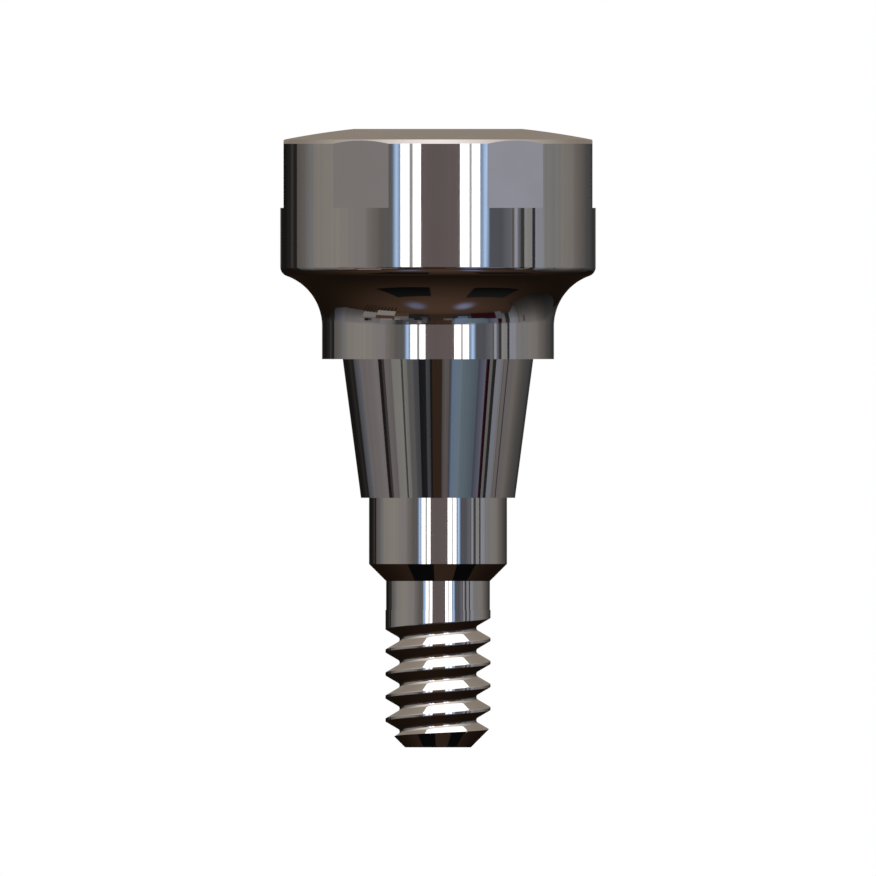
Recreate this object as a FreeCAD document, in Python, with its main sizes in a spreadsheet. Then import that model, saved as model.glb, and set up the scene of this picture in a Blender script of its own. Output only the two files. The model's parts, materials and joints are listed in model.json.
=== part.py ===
"""A magnetic denture abutment, in millimetres.

The axis is Z and the head is at the top. The origin is on the axis, in the plane of the shoulder
that rests on the implant. A disc magnet is sealed in the head under a domed lid.
"""

import FreeCAD, Part
import math
import os
import Sketcher

doc = FreeCAD.newDocument("magnetic_abutment")

# Sizes that a designer sets: alias, value, meaning
SIZES = [
    ("head_dia", 4.80, "diameter of the drum head"),
    ("head_height", 2.21, "from the lower edge of the head to the flat on top"),
    ("crown_flat_dia", 2.56, "diameter of the flat on top"),
    ("crown_radius", 12.0, "radius of the low dome round the flat"),
    ("rim_chamfer", 0.065, "45 degree chamfer round the dome"),
    ("flat_count", 6, "number of wrench flats"),
    ("flat_depth", 0.05, "how deep each wrench flat is milled"),
    ("flat_height", 0.975, "from the ledge of the flats up to the rim chamfer"),
    ("lip_fillet", 0.15, "rounding of the lower edge of the head"),
    ("lip_slope", 12.2, "degrees, slope of the neck curve where it meets the head"),
    ("collar_dia", 3.53, "diameter of the collar that passes through the gum"),
    ("collar_height", 0.505, "straight height of the collar"),
    ("cone_dia", 2.90, "diameter of the sealing cone at the shoulder"),
    ("cone_angle", 7.5, "degrees, half angle of the sealing cone"),
    ("cone_length", 2.11, "length of the sealing cone"),
    ("guide_dia", 2.10, "diameter of the guide cylinder"),
    ("guide_length", 1.005, "length of the guide cylinder"),
    ("shank_dia", 1.58, "diameter of the plain shank"),
    ("shank_length", 0.44, "length of the plain shank"),
    ("thread_dia", 1.60, "outside diameter of the thread"),
    ("thread_pitch", 0.35, "pitch of the thread"),
    ("thread_length", 2.09, "length of the threaded end with its tip chamfer"),
    ("thread_relief", 0.187, "from the top of the threaded end to the last root"),
    ("tip_chamfer", 0.30, "45 degree chamfer at the tip"),
    ("pocket_wall", 0.40, "metal between the magnet pocket and a wrench flat"),
    ("pocket_lift", 0.16, "pocket floor above the lower edge of the head"),
    ("lid_wall", 0.20, "metal between the lid recess and a wrench flat"),
    ("lid_edge", 0.30, "thickness of the lid at its edge"),
    ("lid_clearance", 0.01, "radial clearance of the lid in its recess"),
    ("magnet_clearance", 0.02, "radial clearance of the magnet in its pocket"),
    ("magnet_gap", 0.02, "air between the magnet and the lid"),
    ("magnet_chamfer", 0.08, "edge chamfer of the magnet"),
    ("cut_margin", 0.50, "how far a cutting outline reaches past the metal"),
]

# Sizes worked out from those: alias, formula, meaning
WORKED_OUT = [
    ("head_radius", "head_dia / 2", "radius of the head"),
    ("collar_radius", "collar_dia / 2", "radius of the collar"),
    ("neck_radius", "(head_radius - collar_radius) / (1 - sin(lip_slope))", "radius of the neck curve"),
    ("head_bottom", "collar_height + neck_radius * cos(lip_slope)", "height of the lower edge of the head"),
    ("top_height", "head_bottom + head_height", "height of the flat on top"),
    ("neck_centre_radius", "collar_radius + neck_radius", "radius at which the neck curve has its centre"),
    ("lip_centre_radius", "head_radius - lip_fillet", "radius at which the lip rounding has its centre"),
    ("lip_inset", "neck_centre_radius - lip_centre_radius", "how far inside the neck's centre that is"),
    ("lip_rise", "sqrt((neck_radius + lip_fillet) ^ 2 - lip_inset ^ 2)", "how far above the neck's centre"),
    ("lip_share", "neck_radius / (neck_radius + lip_fillet)", "where the two curves touch on that line"),
    ("lip_top", "collar_height + lip_rise", "height where the rounding meets the side of the head"),
    ("lip_contact_radius", "neck_centre_radius - lip_inset * lip_share", "radius where it meets the neck"),
    ("lip_contact_height", "collar_height + lip_rise * lip_share", "height where it meets the neck"),
    ("crown_flat_radius", "crown_flat_dia / 2", "radius of the flat on top"),
    ("crown_centre", "top_height - sqrt(crown_radius ^ 2 - crown_flat_radius ^ 2)", "height of the dome's centre"),
    ("crown_edge_radius", "head_radius - rim_chamfer", "radius where the dome meets the chamfer"),
    ("crown_edge", "crown_centre + sqrt(crown_radius ^ 2 - crown_edge_radius ^ 2)", "height of that edge"),
    ("rim_height", "crown_edge - rim_chamfer", "height where the chamfer meets the side"),
    ("flat_distance", "head_radius - flat_depth", "from the axis to a wrench flat"),
    ("ledge_height", "rim_height - flat_height", "height of the ledge under the flats"),
    ("cone_radius", "cone_dia / 2", "radius of the cone at the shoulder"),
    ("cone_foot_radius", "cone_radius - cone_length * tan(cone_angle)", "radius of the cone's lower end"),
    ("guide_radius", "guide_dia / 2", "radius of the guide cylinder"),
    ("guide_bottom", "cone_length + guide_length", "depth of the guide cylinder's lower edge"),
    ("shank_radius", "shank_dia / 2", "radius of the shank"),
    ("shank_top", "guide_bottom + guide_radius - shank_radius", "depth where the 45 degree taper ends"),
    ("thread_top", "shank_top + shank_length", "depth where the threaded end starts"),
    ("thread_radius", "thread_dia / 2", "radius of the thread's crest"),
    ("tip_depth", "thread_top + thread_length", "depth of the tip"),
    ("tip_radius", "thread_radius - tip_chamfer", "radius of the face at the tip"),
    ("vee_height", "thread_pitch * cos(30)", "height of the sharp 60 degree triangle"),
    ("root_radius", "thread_radius - vee_height * 17 / 24", "radius of the thread's root"),
    ("root_half_width", "thread_pitch / 12", "half the width of the flat in the root"),
    ("mouth_radius", "thread_radius + vee_height / 8", "radius at which the cut is as wide as the pitch"),
    ("mouth_half_width", "thread_pitch / 2", "half the width of the cut out there"),
    ("cut_start", "tip_depth + thread_pitch * 0.81", "depth of the root where the cut starts, in the air"),
    ("cut_height", "cut_start - thread_top - thread_relief", "how far the cut climbs"),
    ("pocket_radius", "flat_distance - pocket_wall", "radius of the magnet pocket"),
    ("pocket_floor", "head_bottom + pocket_lift", "height of the pocket floor"),
    ("recess_radius", "flat_distance - lid_wall", "radius of the lid recess"),
    ("lid_radius", "recess_radius - lid_clearance", "radius of the lid"),
    ("lid_shoulder", "crown_centre + sqrt(crown_radius ^ 2 - lid_radius ^ 2)", "height of the dome at the lid's edge"),
    ("seat_height", "lid_shoulder - lid_edge", "height of the ledge that carries the lid"),
    ("recess_top", "top_height + cut_margin", "upper end of the turning cut"),
    ("lid_height", "top_height - seat_height", "height of the lid over its seat"),
    ("magnet_dia", "2 * (pocket_radius - magnet_clearance)", "diameter of the magnet"),
    ("magnet_height", "seat_height - pocket_floor - magnet_gap", "thickness of the magnet"),
]

sheet = doc.addObject("Spreadsheet::Sheet", "sizes")
for row, (alias, value, meaning) in enumerate(SIZES + WORKED_OUT, start=1):
    formula = f"={value}" if isinstance(value, str) else str(value)
    sheet.set(f"A{row}", alias)
    sheet.set(f"B{row}", formula)
    sheet.set(f"C{row}", meaning)
    sheet.setAlias(f"B{row}", alias)
doc.recompute()


def origin_feature(body, role):
    """The body's own origin plane or axis with this role."""
    return next(item for item in body.Origin.OriginFeatures if item.Role == role)


def new_body(label):
    """A body whose label is the name of its sub-part."""
    body = doc.addObject("PartDesign::Body", label)
    body.Label = label
    return body


def new_sketch(body, name, role):
    """A sketch on one of the body's origin planes. XZ_Plane holds half sections, XY_Plane plan views."""
    sketch = body.newObject("Sketcher::SketchObject", name)
    sketch.AttachmentSupport = (origin_feature(body, role), [""])
    sketch.MapMode = "FlatFace"
    return sketch


def tie(sketch, geometry, end, axis, formula):
    """Ties one coordinate of a point to a formula of the sheet, measured from the sketch's origin."""
    if formula == "0":
        other_axis = -2 if axis == "X" else -1
        sketch.addConstraint(Sketcher.Constraint("PointOnObject", geometry, end, other_axis))
        return
    value = float(sketch.evalExpression(formula))
    if value < 0:
        number = sketch.addConstraint(Sketcher.Constraint("Distance" + axis, geometry, end, -1, 1, -value))
        formula = f"-({formula})"
    else:
        number = sketch.addConstraint(Sketcher.Constraint("Distance" + axis, -1, 1, geometry, end, value))
    sketch.renameConstraint(number, f"corner_{number}")
    sketch.setExpression(f"Constraints.corner_{number}", formula)


def arc_between(first, last, radius, centre_side):
    """The arc from first to last whose centre is on the left (1) or the right (-1) of that way."""
    chord = last - first
    half = chord.Length / 2
    across = FreeCAD.Vector(-chord.y, chord.x, 0).normalize()
    centre = (first + last) / 2 + across * centre_side * math.sqrt(radius**2 - half**2)
    start, end = (first, last) if centre_side > 0 else (last, first)
    angles = [math.atan2(point.y - centre.y, point.x - centre.x) for point in (start, end)]
    circle = Part.Circle(centre, FreeCAD.Vector(0, 0, 1), radius)
    return Part.ArcOfCircle(circle, angles[0], angles[1])


def draw_outline(sketch, corners, arcs=None):
    """A closed outline through corners, each a pair of formulas of the sheet.

    arcs gives, for the number of a corner, the radius of the edge that leaves it and the side of
    its centre, as arc_between takes it. Every other edge is straight.
    """
    arcs = arcs or {}
    points = [FreeCAD.Vector(*(float(sketch.evalExpression(f)) for f in corner), 0) for corner in corners]
    ends = []
    for number, point in enumerate(points):
        following = points[(number + 1) % len(points)]
        if number in arcs:
            radius_formula, centre_side = arcs[number]
            radius = float(sketch.evalExpression(radius_formula))
            edge = arc_between(point, following, radius, centre_side)
            ends.append((1, 2) if centre_side > 0 else (2, 1))
        else:
            edge = Part.LineSegment(point, following)
            ends.append((1, 2))
        sketch.addGeometry(edge, False)
    for number, (horizontal, vertical) in enumerate(corners):
        before = number - 1 if number else len(corners) - 1
        start = ends[number][0]
        sketch.addConstraint(Sketcher.Constraint("Coincident", before, ends[before][1], number, start))
        tie(sketch, number, start, "X", horizontal)
        tie(sketch, number, start, "Y", vertical)
    for number, (radius_formula, _) in arcs.items():
        radius = float(sketch.evalExpression(radius_formula))
        constraint = sketch.addConstraint(Sketcher.Constraint("Radius", number, radius))
        sketch.renameConstraint(constraint, f"arc_{number}")
        sketch.setExpression(f"Constraints.arc_{number}", radius_formula)


def turn(body, kind, name, sketch):
    """A solid (Revolution) or a cut (Groove) turned once round the Z axis."""
    feature = body.newObject(f"PartDesign::{kind}", name)
    feature.Profile = sketch
    feature.ReferenceAxis = (sketch, ["V_Axis"])
    feature.Angle = 360
    sketch.Visibility = False
    doc.recompute()
    return feature


def circle_edges(shape, radius, height):
    """Names of the full circles about Z with this radius and height."""
    names = []
    for number, edge in enumerate(shape.Edges, start=1):
        curve = edge.Curve
        if not isinstance(curve, Part.Circle) or len(edge.Vertexes) > 1:
            continue
        if abs(curve.Radius - radius) < 1e-6 and abs(curve.Center.z - height) < 1e-6:
            names.append(f"Edge{number}")
    return names


def build_abutment_body():
    """The turned piece: head, neck, collar, cone, guide, shank and thread."""
    body = new_body("abutment_body")

    section = new_sketch(body, "turned_section", "XZ_Plane")
    corners = [
        ("0", "sizes.top_height"),
        ("sizes.crown_flat_radius", "sizes.top_height"),
        ("sizes.crown_edge_radius", "sizes.crown_edge"),
        ("sizes.head_radius", "sizes.rim_height"),
        ("sizes.head_radius", "sizes.lip_top"),
        ("sizes.lip_contact_radius", "sizes.lip_contact_height"),
        ("sizes.collar_radius", "sizes.collar_height"),
        ("sizes.collar_radius", "0"),
        ("sizes.cone_radius", "0"),
        ("sizes.cone_foot_radius", "-sizes.cone_length"),
        ("sizes.guide_radius", "-sizes.cone_length"),
        ("sizes.guide_radius", "-sizes.guide_bottom"),
        ("sizes.shank_radius", "-sizes.shank_top"),
        ("sizes.shank_radius", "-sizes.thread_top"),
        ("sizes.thread_radius", "-sizes.thread_top"),
        ("sizes.thread_radius", "-(sizes.tip_depth - sizes.tip_chamfer)"),
        ("sizes.tip_radius", "-sizes.tip_depth"),
        ("0", "-sizes.tip_depth"),
    ]
    dome, lip, neck = 1, 4, 5
    curves = {
        dome: ("sizes.crown_radius", -1),
        lip: ("sizes.lip_fillet", -1),
        neck: ("sizes.neck_radius", 1),
    }
    draw_outline(section, corners, curves)
    turn(body, "Revolution", "turned_blank", section)

    milled = new_sketch(body, "flat_outline", "XY_Plane")
    milled.setExpression("AttachmentOffset.Base.z", "sizes.ledge_height")
    doc.recompute()
    outside = "sizes.head_radius + sizes.cut_margin"
    corners = [
        ("sizes.flat_distance", "-sizes.head_radius"),
        (outside, "-sizes.head_radius"),
        (outside, "sizes.head_radius"),
        ("sizes.flat_distance", "sizes.head_radius"),
    ]
    draw_outline(milled, corners)
    flat = body.newObject("PartDesign::Pocket", "wrench_flat")
    flat.Profile = milled
    flat.Type = "ThroughAll"
    flat.Reversed = True
    milled.Visibility = False
    doc.recompute()
    flats = body.newObject("PartDesign::PolarPattern", "wrench_flats")
    flats.Originals = [flat]
    flats.Axis = (origin_feature(body, "Z_Axis"), [""])
    flats.Angle = 360
    flats.setExpression("Occurrences", "sizes.flat_count")
    body.Tip = flats
    doc.recompute()

    bored = new_sketch(body, "pocket_section", "XZ_Plane")
    corners = [
        ("0", "sizes.pocket_floor"),
        ("sizes.pocket_radius", "sizes.pocket_floor"),
        ("sizes.pocket_radius", "sizes.seat_height"),
        ("sizes.recess_radius", "sizes.seat_height"),
        ("sizes.recess_radius", "sizes.recess_top"),
        ("0", "sizes.recess_top"),
    ]
    draw_outline(bored, corners)
    turn(body, "Groove", "magnet_pocket", bored)

    vee = new_sketch(body, "thread_vee", "XZ_Plane")
    corners = [
        ("sizes.root_radius", "-(sizes.cut_start + sizes.root_half_width)"),
        ("sizes.mouth_radius", "-(sizes.cut_start + sizes.mouth_half_width)"),
        ("sizes.mouth_radius", "-(sizes.cut_start - sizes.mouth_half_width)"),
        ("sizes.root_radius", "-(sizes.cut_start - sizes.root_half_width)"),
    ]
    draw_outline(vee, corners)
    thread = body.newObject("PartDesign::SubtractiveHelix", "thread_cut")
    thread.Profile = vee
    thread.ReferenceAxis = (vee, ["V_Axis"])
    thread.Mode = "pitch-height-angle"
    thread.Pitch = sheet.thread_pitch
    thread.Height = sheet.cut_height
    thread.setExpression("Pitch", "sizes.thread_pitch")
    thread.setExpression("Height", "sizes.cut_height")
    thread.LeftHanded = False
    vee.Visibility = False
    doc.recompute()
    return body


def build_magnet():
    """The disc magnet, from its lower face up, stood on the pocket floor."""
    body = new_body("magnet")
    disc = new_sketch(body, "disc_outline", "XY_Plane")
    circle = Part.Circle(FreeCAD.Vector(0, 0, 0), FreeCAD.Vector(0, 0, 1), sheet.magnet_dia / 2)
    disc.addGeometry(circle, False)
    disc.addConstraint(Sketcher.Constraint("Coincident", 0, 3, -1, 1))
    disc.addConstraint(Sketcher.Constraint("Diameter", 0, sheet.magnet_dia))
    disc.renameConstraint(1, "disc_size")
    disc.setExpression("Constraints.disc_size", "sizes.magnet_dia")
    blank = body.newObject("PartDesign::Pad", "disc_blank")
    blank.Profile = disc
    blank.Length = sheet.magnet_height
    blank.setExpression("Length", "sizes.magnet_height")
    disc.Visibility = False
    doc.recompute()
    ground = body.newObject("PartDesign::Chamfer", "ground_edges")
    both_ends = [
        name
        for height in (0, sheet.magnet_height)
        for name in circle_edges(blank.Shape, sheet.magnet_dia / 2, height)
    ]
    ground.Base = (blank, both_ends)
    ground.Size = sheet.magnet_chamfer
    ground.setExpression("Size", "sizes.magnet_chamfer")
    body.setExpression("Placement.Base.z", "sizes.pocket_floor")
    doc.recompute()
    return body


def build_cover():
    """The lid, from its lower face up, stood on the seat. Its top carries on the dome of the rim."""
    body = new_body("cover")
    section = new_sketch(body, "lid_section", "XZ_Plane")
    corners = [
        ("0", "0"),
        ("sizes.lid_radius", "0"),
        ("sizes.lid_radius", "sizes.lid_edge"),
        ("sizes.crown_flat_radius", "sizes.lid_height"),
        ("0", "sizes.lid_height"),
    ]
    dome = 2
    draw_outline(section, corners, {dome: ("sizes.crown_radius", 1)})
    turn(body, "Revolution", "turned_lid", section)
    body.setExpression("Placement.Base.z", "sizes.seat_height")
    doc.recompute()
    return body


bodies = [build_abutment_body(), build_magnet(), build_cover()]
doc.recompute()

for item in doc.Objects:
    if {"Invalid", "Error"} & set(item.State):
        raise RuntimeError(f"{item.Name} did not build: {item.State}")
for body in bodies:
    if body.Shape.isNull() or not body.Shape.isValid() or len(body.Shape.Solids) != 1:
        raise RuntimeError(f"{body.Label} is not one valid solid")

os.makedirs("parts", exist_ok=True)
for body in bodies:
    body.Shape.exportStep(f"parts/{body.Label}.step")
    shape = body.Shape
    print(body.Label, "volume", round(shape.Volume, 3), "height", round(shape.BoundBox.ZMax, 3))
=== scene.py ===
# %% [markdown]
# # A magnetic denture abutment
# The real object is a titanium post, 9.4 mm long, turned on a lathe and polished like a mirror.
# A magnet is sealed in its head under a thin lid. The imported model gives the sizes. This lesson
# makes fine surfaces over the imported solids, gives them their finish, and lights them.

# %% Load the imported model
import json
import math

import bmesh
import bpy
import numpy as np
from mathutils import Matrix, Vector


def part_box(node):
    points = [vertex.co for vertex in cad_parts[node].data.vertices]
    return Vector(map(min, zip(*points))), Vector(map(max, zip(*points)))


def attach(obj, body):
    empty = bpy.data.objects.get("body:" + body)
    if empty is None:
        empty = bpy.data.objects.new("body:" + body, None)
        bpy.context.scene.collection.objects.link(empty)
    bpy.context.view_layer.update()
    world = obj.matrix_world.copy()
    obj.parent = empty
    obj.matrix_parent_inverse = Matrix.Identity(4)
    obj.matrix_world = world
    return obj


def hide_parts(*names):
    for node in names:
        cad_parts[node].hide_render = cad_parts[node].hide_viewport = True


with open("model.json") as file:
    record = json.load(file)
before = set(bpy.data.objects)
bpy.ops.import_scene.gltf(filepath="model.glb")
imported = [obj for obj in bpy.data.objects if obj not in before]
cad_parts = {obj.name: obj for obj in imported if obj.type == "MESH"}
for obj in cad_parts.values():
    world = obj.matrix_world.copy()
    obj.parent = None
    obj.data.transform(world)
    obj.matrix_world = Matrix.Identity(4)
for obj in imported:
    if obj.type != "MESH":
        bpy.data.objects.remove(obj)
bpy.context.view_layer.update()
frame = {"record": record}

MM = 0.001

# %% [markdown]
# ## The sizes
# Blender works in metres here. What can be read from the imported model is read: the boxes of the
# three solids and the mounts. The other sizes are the turner's own, written once in millimetres.
# Heights are measured from the shoulder that rests on the implant, and depths are negative heights.

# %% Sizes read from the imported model
body_low, body_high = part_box("abutment_body")
lid_low, lid_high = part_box("cover")
magnet_low, magnet_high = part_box("magnet")
mounts = {mount["name"]: mount for mount in frame["record"]["mounts"]}

HEAD_RADIUS = body_high.x
TIP = body_low.z
TOP = lid_high.z
LID_RADIUS = lid_high.x
LID_SEAT = lid_low.z
POCKET_FLOOR = magnet_low.z
MAGNET_TOP = magnet_high.z
GUIDE_RADIUS = mounts["implant_guide"]["dims"]["r_mm"] * MM
GUIDE_LENGTH = mounts["implant_guide"]["dims"]["length_mm"] * MM
print("length from tip to top in mm:", round((TOP - TIP) / MM, 3))

# %% Sizes of the turned shape
CROWN_FLAT_RADIUS = 1.28 * MM
CROWN_RADIUS = 12.0 * MM
RIM_CHAMFER = 0.065 * MM
FLAT_COUNT = 6
FLAT_DEPTH = 0.05 * MM
FLAT_HEIGHT = 0.975 * MM
LIP_FILLET = 0.15 * MM
LIP_SLOPE = math.radians(12.2)
COLLAR_RADIUS = 1.765 * MM
COLLAR_HEIGHT = 0.505 * MM
CONE_RADIUS = 1.45 * MM
CONE_ANGLE = math.radians(7.5)
CONE_LENGTH = 2.11 * MM
SHANK_RADIUS = 0.79 * MM
SHANK_LENGTH = 0.44 * MM
THREAD_RADIUS = 0.80 * MM
THREAD_PITCH = 0.35 * MM
THREAD_RELIEF = 0.187 * MM
TIP_CHAMFER = 0.30 * MM
POCKET_WALL = 0.40 * MM
LID_WALL = 0.20 * MM
MAGNET_RADIUS = magnet_high.x
MAGNET_CHAMFER = 0.08 * MM

FLAT_DISTANCE = HEAD_RADIUS - FLAT_DEPTH
POCKET_RADIUS = FLAT_DISTANCE - POCKET_WALL
RECESS_RADIUS = FLAT_DISTANCE - LID_WALL
CROWN_CENTRE = TOP - math.sqrt(CROWN_RADIUS**2 - CROWN_FLAT_RADIUS**2)


def crown_height(radius):
    """Height of the dome: the centre's height plus the other leg of a triangle on the dome's radius."""
    return CROWN_CENTRE + np.sqrt(CROWN_RADIUS**2 - radius**2)


CROWN_EDGE_RADIUS = HEAD_RADIUS - RIM_CHAMFER
RIM_HEIGHT = crown_height(CROWN_EDGE_RADIUS) - RIM_CHAMFER
LEDGE_HEIGHT = RIM_HEIGHT - FLAT_HEIGHT
GUIDE_BOTTOM = -CONE_LENGTH - GUIDE_LENGTH
SHANK_TOP = GUIDE_BOTTOM - (GUIDE_RADIUS - SHANK_RADIUS)
THREAD_TOP = SHANK_TOP - SHANK_LENGTH
print("ledge of the wrench flats at", round(LEDGE_HEIGHT / MM, 3), "mm above the shoulder")

# %% [markdown]
# ## Mesh helpers
# Every piece here is a grid of points: rows run down the profile, columns run round the axis. The
# whole grid is worked out as arrays and handed to Blender in one go. Rows that meet on the axis or
# fall on each other leave doubled points, which are merged, so that each piece is one closed skin.
# Edges that bend more than a limit are kept sharp, because a turned part has crisp corners.

# %% A grid of points becomes a piece
SHARP_FROM = math.radians(9)
MERGE_WITHIN = 2e-9


def add_object(name, data):
    """A new object with this data, linked into the scene."""
    thing = bpy.data.objects.new(name, data)
    bpy.context.scene.collection.objects.link(thing)
    return thing


def mesh_from_grid(name, radius, azimuth, height):
    """A closed skin from three arrays, one value for each row and column, in cylinder coordinates.

    A point is radius times (cos azimuth, sin azimuth), and height. The last column is a full turn
    after the first, so merging closes the skin there, also where rows climb with a thread.
    """
    points = np.stack([radius * np.cos(azimuth), radius * np.sin(azimuth), height], axis=-1)
    index = np.arange(radius.size).reshape(radius.shape)
    corners = [index[:-1, :-1], index[1:, :-1], index[1:, 1:], index[:-1, 1:]]
    faces = np.stack(corners, axis=-1).reshape(-1, 4)
    mesh = bpy.data.meshes.new(name)
    mesh.from_pydata(points.reshape(-1, 3), [], faces.tolist())
    return add_object(name, mesh)


def close_skin(piece):
    """Merges doubled points, drops faces of no size, turns normals outwards and keeps corners crisp."""
    skin = bmesh.new()
    skin.from_mesh(piece.data)
    bmesh.ops.remove_doubles(skin, verts=skin.verts, dist=MERGE_WITHIN)
    bmesh.ops.dissolve_degenerate(skin, dist=MERGE_WITHIN, edges=skin.edges)
    bmesh.ops.recalc_face_normals(skin, faces=skin.faces)
    open_edges = sum(not edge.is_manifold for edge in skin.edges)
    skin.to_mesh(piece.data)
    skin.free()
    piece.data.shade_smooth()
    piece.data.set_sharp_from_angle(angle=SHARP_FROM)
    triangles = sum(len(face.vertices) - 2 for face in piece.data.polygons)
    print(piece.name, "triangles:", triangles, "open edges:", open_edges)


def place(piece, node):
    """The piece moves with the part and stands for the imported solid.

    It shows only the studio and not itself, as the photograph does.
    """
    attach(piece, "root")
    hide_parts(node)
    piece.visible_glossy = False


# %% [markdown]
# ## The turned profile
# A lathe makes the outline of the post: straight cuts, a low dome, a rounded lip and the neck's
# hollow curve. The lip's rounding and the neck's curve are two circles that touch, so the point
# between them lies on the line from one centre to the other.

# %% Arcs and the profile's curved stretches
def arc(centre_radius, centre_height, size, start, end, steps):
    """Points on a circle in the half section: the centre plus size times (cos, sin) of the angle."""
    angle = np.radians(np.linspace(start, end, steps + 1))
    return np.stack([centre_radius + size * np.cos(angle), centre_height + size * np.sin(angle)], -1)


LIP_STEPS, NECK_STEPS = 20, 30
NECK_RADIUS = (HEAD_RADIUS - COLLAR_RADIUS) / (1 - math.sin(LIP_SLOPE))
NECK_CENTRE_RADIUS = COLLAR_RADIUS + NECK_RADIUS
LIP_CENTRE_RADIUS = HEAD_RADIUS - LIP_FILLET
LIP_INSET = NECK_CENTRE_RADIUS - LIP_CENTRE_RADIUS
LIP_RISE = math.sqrt((NECK_RADIUS + LIP_FILLET) ** 2 - LIP_INSET**2)
LIP_TURN = math.degrees(math.atan2(LIP_RISE, LIP_INSET))

lip_arc = arc(LIP_CENTRE_RADIUS, COLLAR_HEIGHT + LIP_RISE, LIP_FILLET, 0, -LIP_TURN, LIP_STEPS)
neck_arc = arc(NECK_CENTRE_RADIUS, COLLAR_HEIGHT, NECK_RADIUS, 180 - LIP_TURN, 180, NECK_STEPS)
print("lip and neck meet at", np.round(lip_arc[-1] / MM, 3), np.round(neck_arc[0] / MM, 3))

# %% [markdown]
# ## Columns that fit the wrench flats
# Six shallow flats are milled on the head. Each flat is a plane, so at an angle away from its
# middle its distance from the axis is the flat's distance divided by the cosine of that angle.
# Columns stand exactly on the ends of each flat, so that its two side edges are straight and crisp.

# %% Column angles, and the head's radius at each of them
FLAT_STEPS, ROUND_STEPS = 16, 24
flat_reach = math.acos(FLAT_DISTANCE / HEAD_RADIUS)
sector = 2 * math.pi / FLAT_COUNT
from_flat = np.concatenate([
    np.linspace(-flat_reach, flat_reach, FLAT_STEPS, endpoint=False),
    np.linspace(flat_reach, sector - flat_reach, ROUND_STEPS, endpoint=False),
])
azimuth = (np.arange(FLAT_COUNT)[:, None] * sector + from_flat).ravel()
azimuth = np.append(azimuth, azimuth[0] + 2 * math.pi)
off_middle = np.append(np.tile(from_flat, FLAT_COUNT), from_flat[0])
wall_radius = np.where(np.abs(off_middle) < flat_reach, FLAT_DISTANCE / np.cos(off_middle), HEAD_RADIUS)
wall_top = RIM_HEIGHT + (HEAD_RADIUS - wall_radius)
print(azimuth.size, "columns;", "a flat spans", round(math.degrees(2 * flat_reach), 2), "degrees")

# %% [markdown]
# ## The screw thread
# The thread is M1.6 by 0.35 and right-handed. Along the axis, its profile is a rounded root, a
# straight flank at 60 degrees to the other flank, and a narrow flat crest with rounded edges. The
# flanks belong to a triangle with equal sides. A sixth of its height is the radius of the root's
# circle, and 17/24 of it is the depth of the thread. Rows that climb by one pitch in one turn follow
# the thread, so its lines are smooth and not stairs.

# %% The thread's radius at any point
FLANK_ANGLE = math.radians(60)
HALF_FLANK_ANGLE = math.radians(30)
TRIANGLE = THREAD_PITCH * math.cos(HALF_FLANK_ANGLE)
ROOT_ROUND = TRIANGLE / 6
CREST_ROUND = 0.012 * MM
ROOT_RADIUS = THREAD_RADIUS - TRIANGLE * 17 / 24
FLANK_SLOPE = math.tan(FLANK_ANGLE)
ROOT_REACH = ROOT_ROUND * math.sin(FLANK_ANGLE)
CREST_FLAT = THREAD_PITCH / 16 - CREST_ROUND * math.tan(HALF_FLANK_ANGLE)
CREST_REACH = CREST_FLAT + CREST_ROUND * math.sin(FLANK_ANGLE)
ROOT_BELOW_TIP = 0.81
FIRST_ROOT = TIP - ROOT_BELOW_TIP * THREAD_PITCH
GROOVE_TURNS = (THREAD_TOP - THREAD_RELIEF - FIRST_ROOT) / THREAD_PITCH
RUN_OUT = 0.12


def thread_radius(height, angle):
    """Radius of the threaded surface at a height and an angle.

    The distance to the nearest root decides: near it, the root's circle; half a pitch away, the
    crest's flat and the circle at its edge; between them, a straight flank. Past the last turn the
    groove fades out over a share of a turn.
    """
    turns = (height - FIRST_ROOT) / THREAD_PITCH - angle / (2 * math.pi)
    nearest = np.round(turns)
    away = np.abs(turns - nearest) * THREAD_PITCH
    in_root = np.minimum(away, ROOT_REACH)
    in_crest = np.clip(THREAD_PITCH / 2 - away, CREST_FLAT, CREST_REACH) - CREST_FLAT
    root = ROOT_RADIUS + ROOT_ROUND - np.sqrt(ROOT_ROUND**2 - in_root**2)
    flank = ROOT_RADIUS + ROOT_ROUND / 2 + (away - ROOT_REACH) * FLANK_SLOPE
    crest = THREAD_RADIUS - CREST_ROUND + np.sqrt(CREST_ROUND**2 - in_crest**2)
    above_root = np.where(away > THREAD_PITCH / 2 - CREST_REACH, crest, flank)
    cut = np.where(away < ROOT_REACH, root, above_root)
    past_end = (nearest + angle / (2 * math.pi) - GROOVE_TURNS) / RUN_OUT
    fade = np.clip(1 - past_end, 0, 1)
    return THREAD_RADIUS - fade * (THREAD_RADIUS - cut)


def blank_radius(height):
    """Radius of the turned blank: the thread's own, less what the chamfer at the tip takes off."""
    return np.minimum(THREAD_RADIUS, THREAD_RADIUS - TIP_CHAMFER + (height - TIP))


print("radius at the thread's root in mm:", round(ROOT_RADIUS / MM, 4))

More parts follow.
